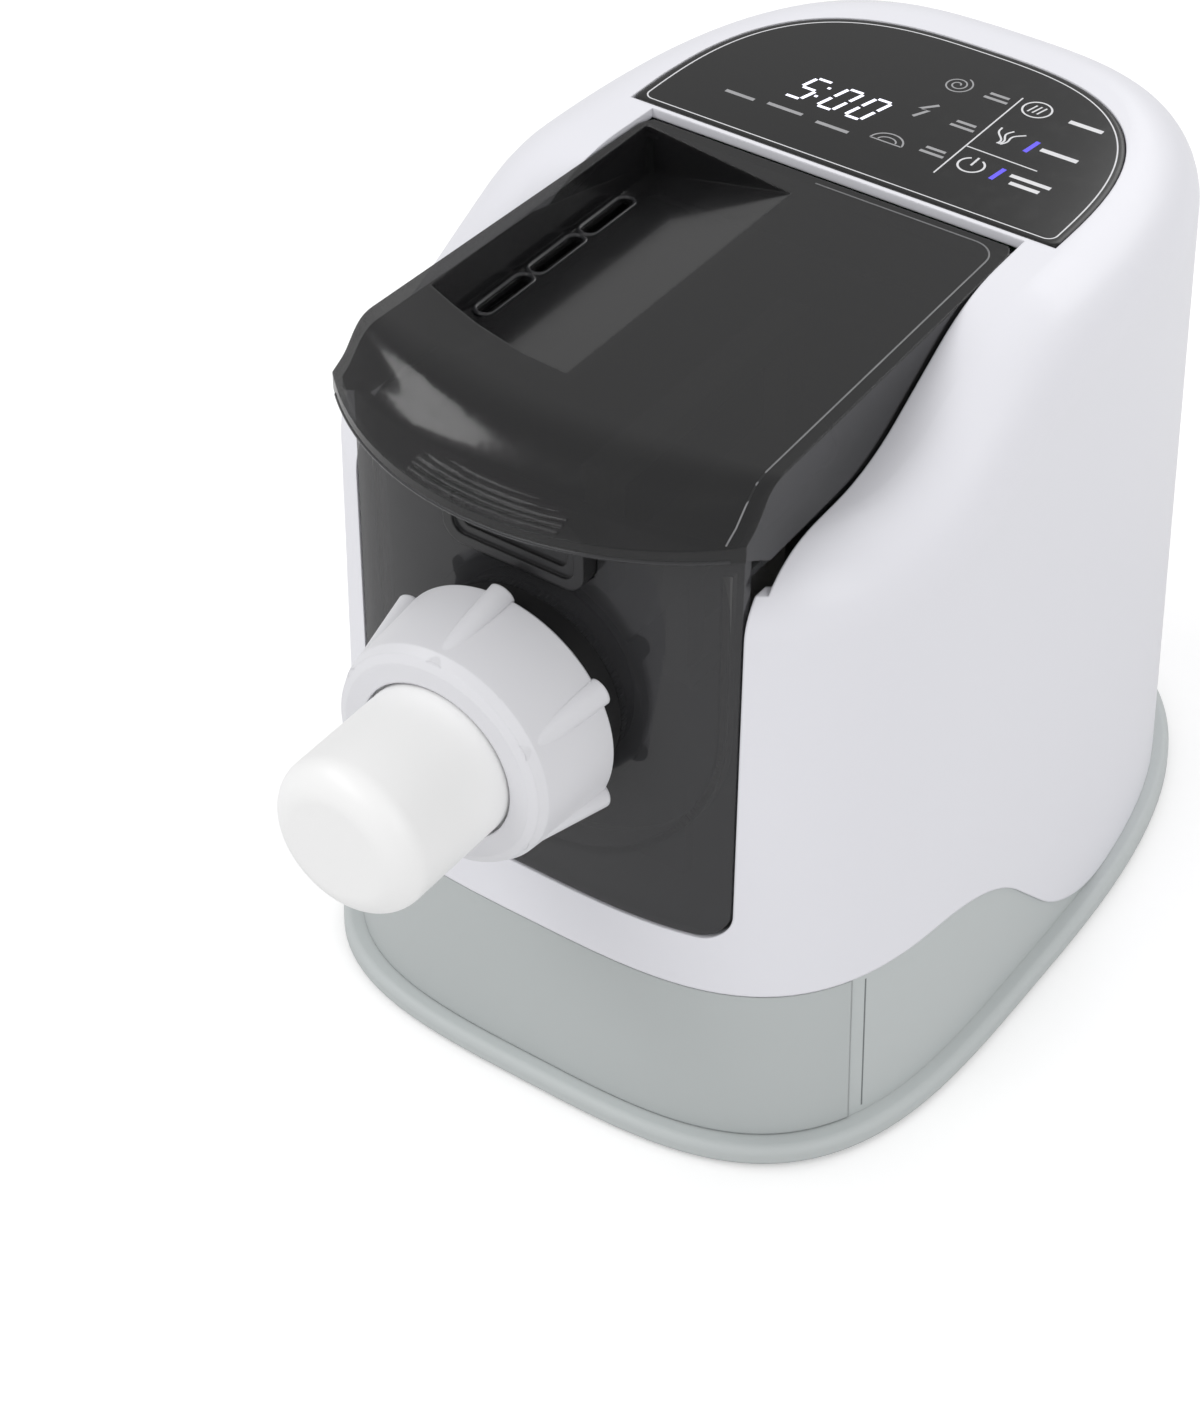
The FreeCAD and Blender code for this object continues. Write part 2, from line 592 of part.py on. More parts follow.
# Gear case with the bearing in the bulkhead
case_low, case_high = MOTOR_HIGH - 14, AXIS + 30
outer = box("case_outer", -31, 44, S("bulkhead_front") + S("bulkhead_thick"), 84, case_low, case_high)
inner = box("case_inner", -28.5, 41.5, 59, 81.5, case_low + 2.5, case_high - 2.5)
shaft_hole = rod("case_shaft_hole", "y", 0, 50, S("axis_high"), S("drive_radius") + 0.1, 40)
pin_hole = rod("case_motor_hole", "y", 0, 70, MOTOR_HIGH, S("motor_shaft") + 0.5, 20)
case = cut("case_walls", outer, inner, shaft_hole, pin_hole)
axle = rod("idler_axle", "y", IDLER[0], 58, IDLER[1], 3, 25)
keep("gearbox_case", fuse("gearbox_case", case, axle))
bearing = cut("shaft_bearing", rod("bearing_ring", "y", 0, S("bulkhead_front"), S("axis_high"), 11, 3),
              rod("bearing_bore", "y", 0, 50, S("axis_high"), S("drive_radius") + 0.05, 20))
keep("shaft_bearing", bearing)

# Gear wheels that mesh at rest
slow, fast = num("gear_module_slow"), num("gear_module_fast")
out_teeth, small_teeth = int(num("output_teeth")), int(num("idler_small_teeth"))
big_teeth, pin_teeth = int(num("idler_big_teeth")), int(num("pinion_teeth"))
slow_y, fast_y = num("gear_slow_start"), num("gear_fast_start")
output = gear(out_teeth, slow, slow_y, num("gear_slow_wide"), 0, AXIS, to_idler, num("drive_radius"))
keep("output_gear", solid("output_gear", output))
small = gear(small_teeth, slow, slow_y - 2, num("gear_slow_wide") + 2, IDLER[0], IDLER[1],
             to_idler + math.pi + math.pi / small_teeth, 3.05)
big = gear(big_teeth, fast, fast_y, num("gear_fast_wide"), IDLER[0], IDLER[1], to_motor, 3.05)
keep("idler_gear", solid("idler_gear", big.fuse(small).removeSplitter()))
pinion = gear(pin_teeth, fast, fast_y - 0.5, num("gear_fast_wide") + 1, 0, MOTOR_HIGH,
              to_motor + math.pi + math.pi / pin_teeth, num("motor_shaft"))
keep("motor_pinion", solid("motor_pinion", pinion))

# Motor: open-backed can with a front boss, rotor on its shaft, cooling fan behind
can = cut("motor_case", rod("motor_can", "y", 0, S("motor_front"), MOTOR_HIGH, S("motor_radius"),
                            S("motor_back") - S("motor_front")),
          rod("motor_room", "y", 0, S("motor_front") + 3, MOTOR_HIGH, S("motor_radius") - 3, 80),
          rod("motor_nose", "y", 0, 80, MOTOR_HIGH, S("motor_shaft") + 0.5, 20))
keep("motor_case", can)
rotor_parts = [rod("rotor_shaft", "y", 0, 59.4, MOTOR_HIGH, S("motor_shaft"), 98.6),
               rod("rotor_core", "y", 0, 96, MOTOR_HIGH, S("rotor_radius"), 38),
               rod("rotor_commutator", "y", 0, 136, MOTOR_HIGH, 9, 8)]
rotor = fuse("rotor_solid", *rotor_parts)
grooves = []
for i in range(12):
    a = 2 * math.pi * i / 12
    x, z = 21.5 * math.sin(a), 21.5 * math.cos(a)
    grooves.append(rod("rotor_groove_%d" % i, "y", x, 95, MOTOR_HIGH + z, 1.6, 40))
keep("motor_rotor", cut("motor_rotor", rotor, fuse("rotor_grooves", *grooves)))
fan_y = num("motor_back") + 3
blades = disc(0, fan_y, MOTOR_HIGH, 8, 8, OUT_Y)
for i in range(7):
    blade = block(-0.8, 0.8, fan_y, fan_y + 8, MOTOR_HIGH + 6, MOTOR_HIGH + 28)
    blade.rotate(V(0, fan_y + 4, MOTOR_HIGH), V(0, 0, 1), 32)
    blade.rotate(V(0, fan_y, MOTOR_HIGH), V(0, 1, 0), i * 360 / 7)
    blades = blades.fuse(blade)
blades = blades.cut(disc(0, fan_y - 3, MOTOR_HIGH, num("motor_shaft"), 20, OUT_Y))
keep("cooling_fan", solid("cooling_fan", blades.removeSplitter()))

# Drive shaft with the cross blade that turns the paddle
shaft = body("drive_shaft_body")
outline = sketch(shaft, "YZ_Plane", [[(49.5, 0), (83.5, 0), (83.5, S("drive_radius")), (49.5, S("drive_radius"))]],
                 rise=S("axis_high"))
turned(shaft, outline)
keep("drive_shaft", shaft)
dog = rod("dog_plate", "y", 0, 50.2, S("axis_high"), 13, 3)
blade = box("dog_blade", -1.8, 1.8, 45.6, 51, S("axis_high") - 7, S("axis_high") + 7)
dog_bore = rod("dog_bore", "y", 0, 49.5, S("axis_high"), S("drive_radius"), 10)
keep("drive_coupling", cut("drive_coupling", fuse("dog_solid", dog, blade), dog_bore))

# Mixing bowl: U-shaped trough with a rear wall, open at the front and the top, flange round the rim
wide = S("bowl_inner") + S("bowl_wall")
drum = rod("bowl_drum", "y", 0, S("bowl_front"), S("axis_high"), wide, S("bowl_back") - S("bowl_front"))
upper = box("bowl_upper", -wide, wide, S("bowl_front"), S("bowl_back"), S("axis_high"), S("bowl_rim"))
flange = box("bowl_flange_plate", -wide - S("bowl_flange"), wide + S("bowl_flange"), S("bowl_front"),
             S("bowl_back") + 2, S("bowl_rim") - 2.5, S("bowl_rim"))
bowl_out = fuse("bowl_outside", drum, upper, flange)
room = rod("bowl_room", "y", 0, S("bowl_front") - 5, S("axis_high"), S("bowl_inner"),
           S("bowl_back") - S("bowl_front") + 5 - S("bowl_wall"))
room_up = box("bowl_room_up", -S("bowl_inner"), S("bowl_inner"), S("bowl_front") - 5,
              S("bowl_back") - S("bowl_wall"), S("axis_high"), S("bowl_rim") + 5)
seal_hole = rod("bowl_seal_hole", "y", 0, 30, S("axis_high"), S("seal_outer"), 30)
keep("mixing_bowl", cut("mixing_bowl", bowl_out, fuse("bowl_inside", room, room_up), seal_hole))
seal = cut("shaft_seal", rod("seal_ring", "y", 0, 41, S("axis_high"), S("seal_outer"), 3.2),
           rod("seal_bore", "y", 0, 30, S("axis_high"), S("shaft_radius") + 0.05, 30))
keep("shaft_seal", seal)

# Paddle: hub with two kneading bars on arms, slotted tail that the drive blade enters
hub = rod("paddle_hub", "y", 0, S("auger_back"), S("axis_high"), 11, 40 - S("auger_back"))
tail = rod("paddle_tail", "y", 0, 39, S("axis_high"), S("shaft_radius"), 10)
arms = [hub, tail]
reach = S("paddle_reach")
for i, (y, down) in enumerate([(-66, 0), (24, 0), (-26, 1), (26, 1)]):
    z0 = S("axis_high") - reach + 3 if down else S("axis_high") + 5
    z1 = S("axis_high") - 5 if down else S("axis_high") + reach - 3
    arms.append(box("paddle_arm_%d" % i, -4, 4, y, y + 8, z0, z1))
arms.append(box("paddle_bar_up", -5, 5, -66, 34, S("axis_high") + reach - 3 - S("paddle_bar"),
                S("axis_high") + reach - 3))
arms.append(box("paddle_bar_down", -5, 5, -26, 34, S("axis_high") - reach + 3,
                S("axis_high") - reach + 3 + S("paddle_bar")))
slot = box("paddle_slot", -2.15, 2.15, 45, 50, S("axis_high") - 9, S("axis_high") + 9)
socket = rod("paddle_socket", "y", 0, S("auger_back") - 1, S("axis_high"), 5, 13)
keep("mixing_paddle", cut("mixing_paddle", fuse("paddle_solid", *arms), slot, socket))

# Auger: core with a helical flight, plugged into the hub
core = disc(0, num("auger_front"), AXIS, num("auger_core"), num("auger_back") - num("auger_front"), OUT_Y)
plug = disc(0, num("auger_back") - 1, AXIS, 5, 12, OUT_Y)
run = num("auger_back") - num("auger_front") - 8
helix = Part.makeHelix(num("auger_pitch"), run, num("auger_radius") - 6)
helix.rotate(V(0, 0, 0), V(1, 0, 0), -90)
helix.translate(V(0, num("auger_front") + 3, AXIS))
begin = helix.Edges[0].valueAt(helix.Edges[0].FirstParameter)
radial = (begin - V(0, begin.y, AXIS)).normalize()
t = num("flight_thick") / 2
low_r, high_r = num("auger_core") - 1.5, num("auger_radius")
rows = [(low_r, -t), (high_r, -t * 0.6), (high_r, t * 0.6), (low_r, t)]
corners = [V(0, begin.y + u, AXIS) + radial * r for r, u in rows]
profile = Part.makePolygon(corners + corners[:1])
flight = Part.Wire(helix.Edges).makePipeShell([profile], True, True)
auger = core.fuse(plug).fuse(flight)
keep("auger_screw", solid("auger_screw", auger.removeSplitter()))

# Front cover: smoked plate that follows the hull, with an inner ring wall against the bowl
plate = hull(60, 260, -0.3).cut(hull(59, 261, -3))
half, low, high = num("cover_half"), num("cover_low"), num("cover_high")
front = block(-half, half, -140, 0, low, high)
corner_edges = [e for e in front.Edges if e.BoundBox.YLength > 100 and e.CenterOfMass.z < low + 1]
plate = plate.common(front.makeFillet(num("cover_round"), corner_edges))
r_out, r_in = num("bowl_inner") + 2, num("bowl_inner") - 0.5


def u_ring(outer_r, inner_r, y0, y1, top):
    shape = disc(0, y0, AXIS, outer_r, y1 - y0, OUT_Y).fuse(block(-outer_r, outer_r, y0, y1, AXIS, top))
    hollow = disc(0, y0 - 1, AXIS, inner_r, y1 - y0 + 2, OUT_Y)
    shape = shape.cut(hollow.fuse(block(-inner_r, inner_r, y0 - 1, y1 + 1, AXIS, top + 9)))
    return shape.cut(block(-80, 80, y0 - 1, y1 + 1, top, top + 9)).removeSplitter()


ring = u_ring(r_out, r_in, -98.5, -88.8, 211).common(hull(60, 260, -2))
plate = plate.fuse(ring)
plate = plate.cut(disc(0, -120, AXIS, num("neck_radius"), 40, OUT_Y))
lh = num("latch_half") + 0.4
window = block(-lh, lh, -130, -92, num("latch_low") - 0.4, num("latch_high") + 0.4)
long_edges = [e for e in window.Edges if e.BoundBox.YLength > 30]
plate = plate.cut(window.makeFillet(6.4, long_edges))
keep("front_cover", solid("front_cover", plate.removeSplitter()))
keep("cover_gasket", solid("cover_gasket", u_ring(num("bowl_inner") + 2.3, num("bowl_inner") - 0.5,
                                                  -88.8, num("bowl_front"), 211)))

# Latch button with stepped rings, sliding through the cover
button = block(-num("latch_half"), num("latch_half"), num("latch_front"), -93,
               num("latch_low"), num("latch_high"))
button = button.makeFillet(6, [e for e in button.Edges if e.BoundBox.YLength > 8])
for inset, depth in ((3, 1.0), (6, 1.9)):
    step = block(-num("latch_half") + inset, num("latch_half") - inset, num("latch_front") - 1,
                 num("latch_front") + depth, num("latch_low") + inset, num("latch_high") - inset)
    button = button.cut(step.makeFillet(6 - inset * 0.6, [e for e in step.Edges if e.BoundBox.YLength > depth]))
keep("latch_button", solid("latch_button", button))

# Extrusion barrel with its collar and inner flange
barrel = body("barrel_body")
outline = sketch(barrel, "YZ_Plane",
                 [[(S("barrel_tip"), S("barrel_bore")), (S("barrel_tip"), S("barrel_outer")),
                   (S("neck_front"), S("barrel_outer")), (S("neck_front"), S("neck_radius")),
                   (-95, S("neck_radius")), (-95, S("neck_flange")), (S("neck_back"), S("neck_flange")),
                   (S("neck_back"), S("barrel_bore"))]], rise=S("axis_high"))
turned(barrel, outline)
keep("extrusion_barrel", barrel)

# Nozzle cap: closed round tip, flange held by the nut, outlet window underneath
stem = rod("cap_stem", "y", 0, S("cap_tip"), S("axis_high"), S("cap_radius"), -137.2 - S("cap_tip"))
doc.recompute()
tip_edges = [i + 1 for i, e in enumerate(stem.Shape.Edges)
             if e.BoundBox.YMax < num("cap_tip") + 1 and e.Length > 60]
tip = doc.addObject("Part::Fillet", "cap_tip_round")
tip.Base = stem
tip.Edges = [(i, num("cap_round"), num("cap_round")) for i in tip_edges]
flange_disc = rod("cap_flange_disc", "y", 0, -137.2, S("axis_high"), S("cap_flange"), 3.4)
bore = rod("cap_bore_hole", "y", 0, S("cap_tip") + 5, S("axis_high"), S("cap_bore"), 60)
window = box("cap_window", -14, 14, S("die_centre") - 13, S("die_centre") + 13, 120, S("axis_high") - 8)
keep("nozzle_cap", cut("nozzle_cap", fuse("cap_solid", tip, flange_disc), bore, window))

die_ring = cut("die_ring", rod("die_out", "y", 0, S("die_centre") - S("die_half"), S("axis_high"),
                               S("cap_radius") - 0.6, 2 * S("die_half")),
               rod("die_in", "y", 0, -190, S("axis_high"), S("cap_bore"), 60))
die_block = box("die_block", -14, 14, -190, -130, 120, S("axis_high") - 8)
holes = []
for i in range(5):
    for j in range(5):
        holes.append(rod("die_hole_%d%d" % (i, j), "z", -9.6 + 4.8 * i, S("die_centre") - 9.6 + 4.8 * j,
                         125, S("die_hole") / 2, 25))
keep("die_plate", cut("die_plate", common("die_sector", die_ring, die_block), fuse("die_holes", *holes)))

# Ring nut: turned sleeve with six ribs that fade out towards the front
nut = body("nut_body")
outline = sketch(nut, "YZ_Plane",
                 [[(S("nut_front"), S("nut_hole")), (S("nut_front"), S("nut_front_radius") - 4),
                   (S("nut_front") + 1.2, S("nut_front_radius") - 1.4),
                   (S("nut_front") + 4, S("nut_front_radius")), (S("nut_back") - 1, S("nut_back_radius")),
                   (S("nut_back"), S("nut_back_radius") - 1), (S("nut_back"), S("nut_bore")),
                   (-137.5, S("nut_bore")), (-137.5, S("nut_hole"))]], rise=S("axis_high"))
turned(nut, outline)
ribs = []
for i in range(int(num("nut_ribs"))):
    a = 2 * math.pi * i / num("nut_ribs")
    back_r, front_r = num("nut_back_radius") - 0.4, num("nut_front_radius") - 5
    tail_end = V(back_r * math.sin(a), num("nut_back"), AXIS + back_r * math.cos(a))
    front_end = V(front_r * math.sin(a), num("nut_front") + 1, AXIS + front_r * math.cos(a))
    ribs.append(solid("nut_rib_%d" % i, Part.makeCylinder(num("nut_rib"), (front_end - tail_end).Length,
                                                          tail_end, front_end - tail_end)))
slab = box("nut_slab", -60, 60, S("nut_front") + 1, S("nut_back"), 95, 215)
rib_set = cut("nut_rib_set", common("nut_ribs", fuse("nut_rib_all", *ribs), slab),
              rod("nut_rib_bore", "y", 0, -150, S("axis_high"), S("nut_bore") + 2, 60))
keep("ring_nut", fuse("ring_nut", nut, rib_set))

# Drawer: curved front that wraps both corners, box behind it, runners on the tray
skin = hull_band(-0.4, -3.4, num("rim_high") + 0.5, num("seam_front") - 0.6)
skin = skin.common(block(-150, 150, -150, num("drawer_seam") - 0.5, 0, 80))
for x in (-60, 0, 60):
    rib = block(x - 1.5, x + 1.5, -112, num("drawer_front_y"), 12, 56)
    skin = skin.fuse(rib.common(hull(0, 80, -1.5)))
keep("drawer_front", solid("drawer_front", skin.removeSplitter()))
box_out = box("drawer_outside", -S("drawer_half"), S("drawer_half"), S("drawer_front_y"), S("drawer_back"),
              S("drawer_low"), S("drawer_high"))
box_in = box("drawer_inside", -S("drawer_half") + S("drawer_wall"), S("drawer_half") - S("drawer_wall"),
             S("drawer_front_y") + S("drawer_wall"), S("drawer_back") - S("drawer_wall"),
             S("drawer_low") + S("drawer_wall"), S("drawer_high") + 5)
keep("drawer_box", cut("drawer_box", box_out, box_in))
rails = []
for i, sx in enumerate((-1, 1)):
    flat = box("rail_flat_%d" % i, 72 if sx > 0 else -83, 83 if sx > 0 else -72, -62, 44, 6, 8)
    lip = box("rail_lip_%d" % i, 80.6 if sx > 0 else -83, 83 if sx > 0 else -80.6, -62, 44, 6, 22)
    rails.append(fuse("rail_%d" % i, flat, lip))
keep("drawer_runners", fuse("drawer_runners", *rails))

# Power board and inlet at the rear of the base
pcb = box("power_plate", -50, 40, 66, 130, 12, 13.6)
parts = [pcb, box("power_coil", -40, -12, 74, 100, 13, 44), rod("power_can_a", "z", 4, 84, 13, 8, 30),
         rod("power_can_b", "z", 24, 84, 13, 8, 30), box("power_sink", -8, 30, 108, 112, 13, 46)]
for i, (x, y) in enumerate([(-46, 70), (36, 70), (-46, 126), (36, 126)]):
    parts.append(rod("power_post_%d" % i, "z", x, y, 6, 3, 7))
keep("power_board", fuse("power_board", *parts))
high = S("inlet_high")
shell_box = box("inlet_shell", -S("inlet_half"), S("inlet_half"), 148, 175, high - S("inlet_tall"),
                high + S("inlet_tall"))
stand = box("inlet_stand", -8, 8, 150, 160, 6, high - S("inlet_tall"))
cavity = box("inlet_cavity", -11.5, 11.5, 157, 180, high - 8, high + 8)
pins = [box("inlet_pin_%d" % i, x - 1.1, x + 1.1, 157, 171, high + z - 2.2, high + z + 2.2)
        for i, (x, z) in enumerate([(-6, -2), (0, 3), (6, -2)])]
keep("power_inlet", cut("power_inlet", fuse("inlet_base", shell_box, stand), cavity))
keep("inlet_pins", fuse("inlet_pins", *pins))

# Lid with its trough and slots, hinge brackets, switch and soft edge pads
keep("lid", solid("lid", lid_shape()))
brackets = []
for i, sx in enumerate((-1, 1)):
    ear = box("ear_%d" % i, 63.2 if sx > 0 else -71, 71 if sx > 0 else -63.2, 43, 53.5, 229.2, 237.8)
    pin = rod("ear_pin_%d" % i, "x", 57.5 if sx > 0 else -64, S("hinge_y"), S("hinge_z"), S("hinge_pin"), 6.5)
    brackets.append(fuse("bracket_%d" % i, ear, pin))
keep("hinge_brackets", fuse("hinge_brackets", *brackets))
switch = fuse("lid_switch", box("switch_box", 70.4, 78, 18, 36, 222, 232), box("switch_arm", 70.4, 74, 26, 30, 232, 234))
keep("lid_switch", switch)

doc.recompute()
for label, obj in kept:
    if [w for w in obj.State if w in ("Invalid", "Error")] or obj.Shape.isNull() or not obj.Shape.isValid():
        raise RuntimeError("object %s failed: %s" % (label, obj.State))
os.makedirs("parts", exist_ok=True)
for label, obj in kept:
    obj.Shape.exportStep("parts/%s.step" % label)
    print(label, len(obj.Shape.Solids), len(obj.Shape.Faces))
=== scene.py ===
"""Electric pasta maker: finishes for the CAD nodes, the printed touch panel, trim, light and camera."""
import json
import math
import bpy
import numpy as np
from mathutils import Matrix
from mathutils.bvhtree import BVHTree


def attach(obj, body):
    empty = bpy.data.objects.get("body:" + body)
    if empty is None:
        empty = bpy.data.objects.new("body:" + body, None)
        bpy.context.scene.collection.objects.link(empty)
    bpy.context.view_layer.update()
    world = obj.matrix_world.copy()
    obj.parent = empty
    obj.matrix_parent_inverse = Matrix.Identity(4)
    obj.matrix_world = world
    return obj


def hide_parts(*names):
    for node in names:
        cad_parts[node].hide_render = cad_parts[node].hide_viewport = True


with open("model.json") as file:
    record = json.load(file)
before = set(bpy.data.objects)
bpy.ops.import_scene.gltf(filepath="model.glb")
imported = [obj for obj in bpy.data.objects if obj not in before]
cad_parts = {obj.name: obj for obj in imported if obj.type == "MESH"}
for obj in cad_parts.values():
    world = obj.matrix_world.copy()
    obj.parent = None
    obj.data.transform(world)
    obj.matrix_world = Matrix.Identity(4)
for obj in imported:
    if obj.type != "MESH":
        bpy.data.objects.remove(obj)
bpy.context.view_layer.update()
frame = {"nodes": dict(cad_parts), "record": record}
nodes = frame["nodes"]
MM = 0.001


# ---------- shader maths ----------
class Value:
    """One socket of a material; arithmetic on it adds Math nodes."""

    def __init__(self, paint, socket):
        self.paint, self.socket = paint, socket

    def _with(self, kind, first, second):
        made = self.paint.node("ShaderNodeMath", {"operation": kind}, {0: first, 1: second})
        return Value(self.paint, made.outputs[0])

    def __add__(self, other):
        return self._with("ADD", self, other)

    def __radd__(self, other):
        return self._with("ADD", other, self)

    def __mul__(self, other):
        return self._with("MULTIPLY", self, other)

    def __rmul__(self, other):
        return self._with("MULTIPLY", other, self)

    def over(self, edge, soft):
        """0 under the edge, 1 over it, with a ramp of width soft."""
        made = self.paint.node("ShaderNodeMapRange", {"clamp": True},
                               {0: self, 1: edge - soft / 2, 2: edge + soft / 2, 3: 0.0, 4: 1.0})
        return Value(self.paint, made.outputs[0])


class Paint:
    """A material built of nodes round one Principled shader."""

    def __init__(self, name, **fixed):
        self.material = bpy.data.materials.new(name)
        self.material.use_nodes = True
        self.tree = self.material.node_tree
        self.shader = self.tree.nodes["Principled BSDF"]
        for key, value in fixed.items():
            self.shader.inputs[key.replace("_", " ")].default_value = value
        self.place = self.node("ShaderNodeTexCoord").outputs["Object"]

    def node(self, kind, settings=None, sockets=None):
        made = self.tree.nodes.new(kind)
        for key, value in (settings or {}).items():
            setattr(made, key, value)
        for key, value in (sockets or {}).items():
            if isinstance(value, Value):
                self.tree.links.new(value.socket, made.inputs[key])
            elif isinstance(value, bpy.types.NodeSocket):
                self.tree.links.new(value, made.inputs[key])
            else:
                made.inputs[key].default_value = value
        return made

    def noise(self, scale, detail=3.0, rough=0.5):
        made = self.node("ShaderNodeTexNoise", None,
                         {"Vector": self.place, "Scale": scale, "Detail": detail, "Roughness": rough})
        return Value(self, made.outputs["Fac"])

    def axis(self, letter):
        split = self.node("ShaderNodeSeparateXYZ", None, {0: self.place})
        return Value(self, split.outputs[letter])

    def mix(self, mask, first, second):
        made = self.node("ShaderNodeMix", {"data_type": "RGBA"}, {"Factor": mask, 6: first, 7: second})
        return made.outputs[2]

    def feed(self, **inputs):
        for key, value in inputs.items():
            socket = value.socket if isinstance(value, Value) else value
            self.tree.links.new(socket, self.shader.inputs[key.replace("_", " ")])
        return self

    def bump(self, value, depth, strength=1.0, edge=0.0008):
        """Bumps over normals that are rounded off along the edges."""
        soft = self.node("ShaderNodeBevel", {"samples": 4}, {"Radius": edge})
        made = self.node("ShaderNodeBump", None, {"Height": value, "Distance": depth, "Strength": strength,
                                                  "Normal": soft.outputs[0]})
        return self.feed(Normal=made.outputs[0])


def rgb(red, green, blue):
    """Screen colour 0-255 to linear RGBA."""
    levels = [c / 255 for c in (red, green, blue)]
    return [c / 12.92 if c < 0.04045 else ((c + 0.055) / 1.055) ** 2.4 for c in levels] + [1.0]


def tint(colour, factor):
    return [min(1.0, c * factor) for c in colour[:3]] + [1.0]


def moulded(name, colour, rough, grain=900.0, depth=0.00003, cloud=0.03, **more):
    """Injection-moulded plastic: faint cloudiness, fine spark grain, roughness that wanders a little."""
    paint = Paint(name, Roughness=rough, **more)
    cloud_mask = paint.noise(9.0, 2.0)
    fine = paint.noise(grain, 2.0, 0.6)
    paint.feed(Base_Color=paint.mix(cloud_mask, tint(colour, 1 - cloud), tint(colour, 1 + cloud)),
               Roughness=rough - 0.04 + 0.08 * paint.noise(40.0, 3.0))
    return paint.bump(fine, depth, 0.5)


def smoked(name, colour, clear, rough=0.06, coat=0.2):
    """Smoked see-through plastic: near black body, a clear gloss and a few fine wipe marks."""
    paint = Paint(name, Roughness=rough, Alpha=clear, IOR=1.45, Coat_Weight=coat, Coat_Roughness=0.03)
    wipe = paint.noise(130.0, 4.0, 0.7)
    paint.feed(Base_Color=paint.mix(paint.noise(14.0, 2.0), tint(colour, 0.94), tint(colour, 1.06)),
               Roughness=rough + 0.05 * wipe.over(0.62, 0.2) + 0.03 * paint.noise(25.0))
    return paint.bump(paint.noise(60.0, 2.0), 0.00004, 0.25)


def metal(name, colour, rough, across="Y"):
    """Turned or drawn metal with fine streaks."""
    paint = Paint(name, Roughness=rough, Metallic=1.0)
    lines = paint.axis(across) * 2600.0
    streak = paint.node("ShaderNodeTexNoise", {"noise_dimensions": "1D"},
                        {"W": lines, "Scale": 1.0, "Detail": 2.0})
    streak = Value(paint, streak.outputs["Fac"])
    paint.feed(Base_Color=paint.mix(streak, tint(colour, 0.9), tint(colour, 1.08)),
               Roughness=rough - 0.06 + 0.12 * streak)
    return paint


finishes = {
    "white_shell": moulded("white_shell", rgb(232, 232, 238), 0.38, depth=0.000012, cloud=0.006,
                           Coat_Weight=0.12, Coat_Roughness=0.2),
    "grey_base": moulded("grey_base", rgb(193, 198, 198), 0.5, cloud=0.012),
    "drawer_grey": moulded("drawer_grey", rgb(186, 191, 191), 0.5, cloud=0.012),
    "foot_rubber": moulded("foot_rubber", rgb(40, 40, 41), 0.8, 500.0, 0.0001),
    "inner_frame": moulded("inner_frame", rgb(170, 172, 175), 0.55),
    "well_black": moulded("well_black", rgb(26, 26, 27), 0.5, 700.0, 0.00006),
    "zinc_screw": metal("zinc_screw", rgb(190, 190, 192), 0.35, "X"),
    "circuit_green": moulded("circuit_green", rgb(40, 100, 62), 0.45, 1500.0, 0.00005, 0.1),
    "bearing_steel": metal("bearing_steel", rgb(205, 206, 208), 0.25),
    "motor_steel": metal("motor_steel", rgb(160, 162, 166), 0.4),
    "inlet_black": moulded("inlet_black", rgb(30, 30, 31), 0.5, 700.0, 0.00006),
    "runner_nylon": moulded("runner_nylon", rgb(214, 213, 208), 0.5),
    "bowl_clear": smoked("bowl_clear", rgb(90, 91, 93), 0.3, 0.12),
    "seal_silicone": moulded("seal_silicone", rgb(205, 204, 200), 0.7, 400.0, 0.00006),
    "cover_smoke": smoked("cover_smoke", rgb(58, 58, 60), 0.7),
    "lid_smoke": smoked("lid_smoke", rgb(31, 31, 32), 0.78, 0.12, 0.12),
    "latch_black": moulded("latch_black", rgb(34, 34, 35), 0.3, 800.0, 0.00002),
    "cap_white": moulded("cap_white", rgb(246, 246, 246), 0.4, depth=0.000012, cloud=0.006),
    "die_white": moulded("die_white", rgb(226, 226, 224), 0.5),
    "nut_grey": moulded("nut_grey", rgb(226, 226, 230), 0.42, depth=0.00002, cloud=0.008),
    "paddle_white": moulded("paddle_white", rgb(222, 221, 216), 0.45),
    "gear_nylon": moulded("gear_nylon", rgb(232, 229, 216), 0.5),
    "gear_steel": metal("gear_steel", rgb(176, 176, 178), 0.35),
    "fan_black": moulded("fan_black", rgb(32, 32, 33), 0.5),
    "panel_glass": smoked("panel_glass", rgb(5, 5, 6), 1.0, 0.16, 0.0),
}
for entry in frame["record"]["subparts"]:
    node = nodes[entry["node"]]
    node.data.materials.clear()
    node.data.materials.append(finishes[entry["material_slot"]].material)


# ---------- meshes ----------
def piece(name, points, faces, finish, body, smooth=True):
    """Mesh object at the origin from points in millimetres; rides on a body and takes a finish."""
    mesh = bpy.data.meshes.new(name)
    mesh.from_pydata((np.asarray(points, float) * MM).tolist(), [], [list(map(int, f)) for f in faces])
    mesh.validate()
    mesh.polygons.foreach_set("use_smooth", [smooth] * len(mesh.polygons))
    obj = bpy.data.objects.new(name, mesh)
    bpy.context.scene.collection.objects.link(obj)
    obj.data.materials.append(finish.material)
    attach(obj, body)
    return obj


def grid_faces(rows, columns, wrap_rows=False, wrap_columns=False):
    """Quads of a grid whose points run along the columns first."""
    i = np.arange(rows if wrap_rows else rows - 1)[:, None]
    j = np.arange(columns if wrap_columns else columns - 1)[None, :]
    a = i * columns + j
    b = i * columns + (j + 1) % columns
    c = ((i + 1) % rows) * columns + (j + 1) % columns
    d = ((i + 1) % rows) * columns + j
    return np.stack([a, b, c, d], -1).reshape(-1, 4)


